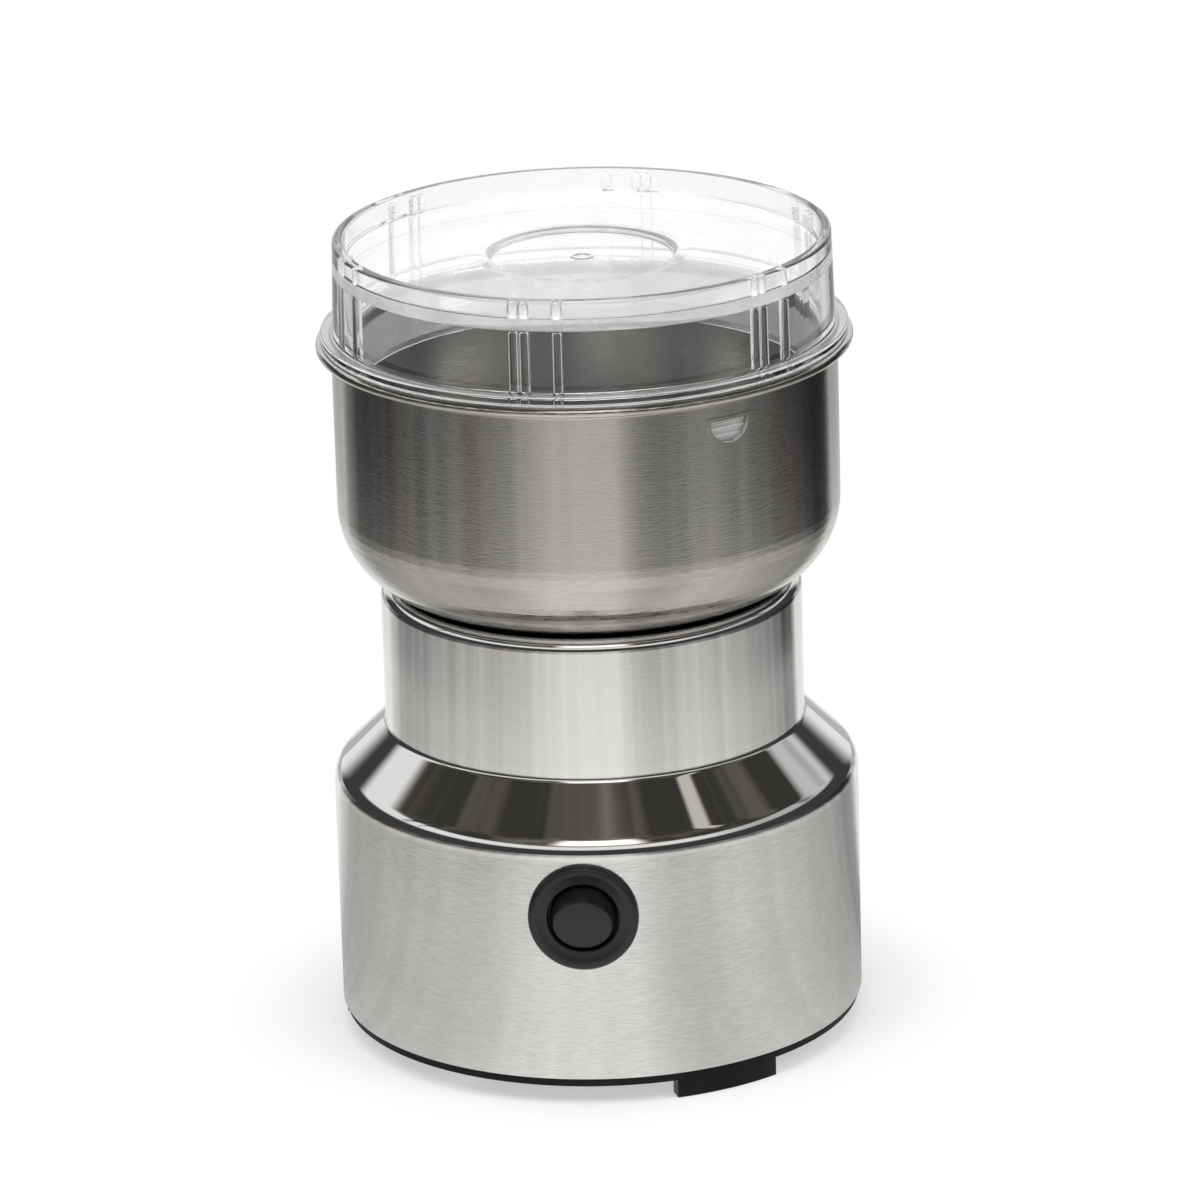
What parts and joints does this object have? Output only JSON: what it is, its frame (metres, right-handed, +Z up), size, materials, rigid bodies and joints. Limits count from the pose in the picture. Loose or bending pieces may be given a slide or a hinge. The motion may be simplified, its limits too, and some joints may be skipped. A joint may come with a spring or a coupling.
{
  "type": "coffee grinder",
  "caption": "Electric blade coffee grinder: steel housing on a black base plate, steel bowl with crossed blades, clear push-fit lid, and a black push button on the front.",
  "frame": {"origin": "middle of the footprint at the underside of the feet", "axes": "+Z up, -Y the side with the button, +X the right side seen from the front"},
  "size_m": [0.1008, 0.1102, 0.1553],
  "materials": {
    "clear_plastic": "clear moulded plastic, slightly smoky",
    "polished_steel": "polished stainless steel with fine drawing lines",
    "brushed_steel": "stainless steel brushed round the body, neck polished",
    "zinc_steel": "zinc-plated pressed steel",
    "spring_steel": "bright drawn steel",
    "core_steel": "varnished electrical sheet in a stack",
    "black_plastic": "black moulded plastic with a fine grain",
    "gloss_black": "black moulded plastic, satin gloss",
    "rubber": "black rubber",
    "brass": "turned brass",
    "copper": "enamelled copper winding wire",
    "carbon": "pressed carbon",
    "cream_plastic": "cream heat-proof plastic",
    "amber_plastic": "dipped resin",
    "brown_wire": "insulated wire",
    "blue_wire": "insulated wire",
    "black_wire": "insulated wire"
  },
  "bodies": {
    "housing": {"bowl": "polished_steel", "bowl_gasket": "rubber", "bowl_screws": "polished_steel", "shaft_seal": "rubber", "housing_shell": "brushed_steel", "mounting_tabs": "zinc_steel", "base_plate": "black_plastic", "base_screws": "zinc_steel", "switch_bezel": "black_plastic", "switch_nut": "black_plastic", "switch_body": "black_plastic", "switch_terminals": "brass", "cord_inlet": "rubber", "upper_bush": "brass", "lower_bush": "brass", "upper_bracket": "zinc_steel", "lower_bracket": "zinc_steel", "field_core": "core_steel", "field_coil_right": "copper", "field_coil_left": "copper", "brush_right": "carbon", "brush_left": "carbon", "brush_holder_right": "brass", "brush_holder_left": "brass", "brush_spring_right": "spring_steel", "brush_spring_left": "spring_steel", "motor_screws": "zinc_steel", "motor_dampers": "rubber", "thermal_fuse": "cream_plastic", "terminal_block": "cream_plastic", "capacitor": "amber_plastic", "lead_block_to_switch": "brown_wire", "lead_switch_to_coil": "brown_wire", "lead_block_to_brush": "blue_wire", "lead_brush_to_coil": "blue_wire", "lead_capacitor": "black_wire"},
    "lid": {"lid": "clear_plastic"},
    "rotor": {"motor_shaft": "spring_steel", "armature_core": "core_steel", "armature_winding": "copper", "commutator": "copper", "cooling_fan": "black_plastic", "drive_collar": "brass", "lower_blade": "polished_steel", "upper_blade": "polished_steel", "blade_washer": "polished_steel", "blade_nut": "brass"},
    "button": {"button_cap": "gloss_black", "button_spring": "spring_steel"}
  },
  "joints": [
    {"name": "lid_lift", "type": "slide", "parent": "housing", "child": "lid", "axis": [0, 0, 1], "range_m": [0, 0.045]},
    {"name": "rotor_spin", "type": "hinge", "parent": "housing", "child": "rotor", "pos_m": [0, 0, 0.094], "axis": [0, 0, 1], "continuous": true},
    {"name": "button_press", "type": "slide", "parent": "housing", "child": "button", "axis": [0, 1, 0], "range_m": [0, 0.0025], "stiffness_N_per_m": 300, "springref_m": -0.002, "deforming": ["button_spring"]}
  ]
}
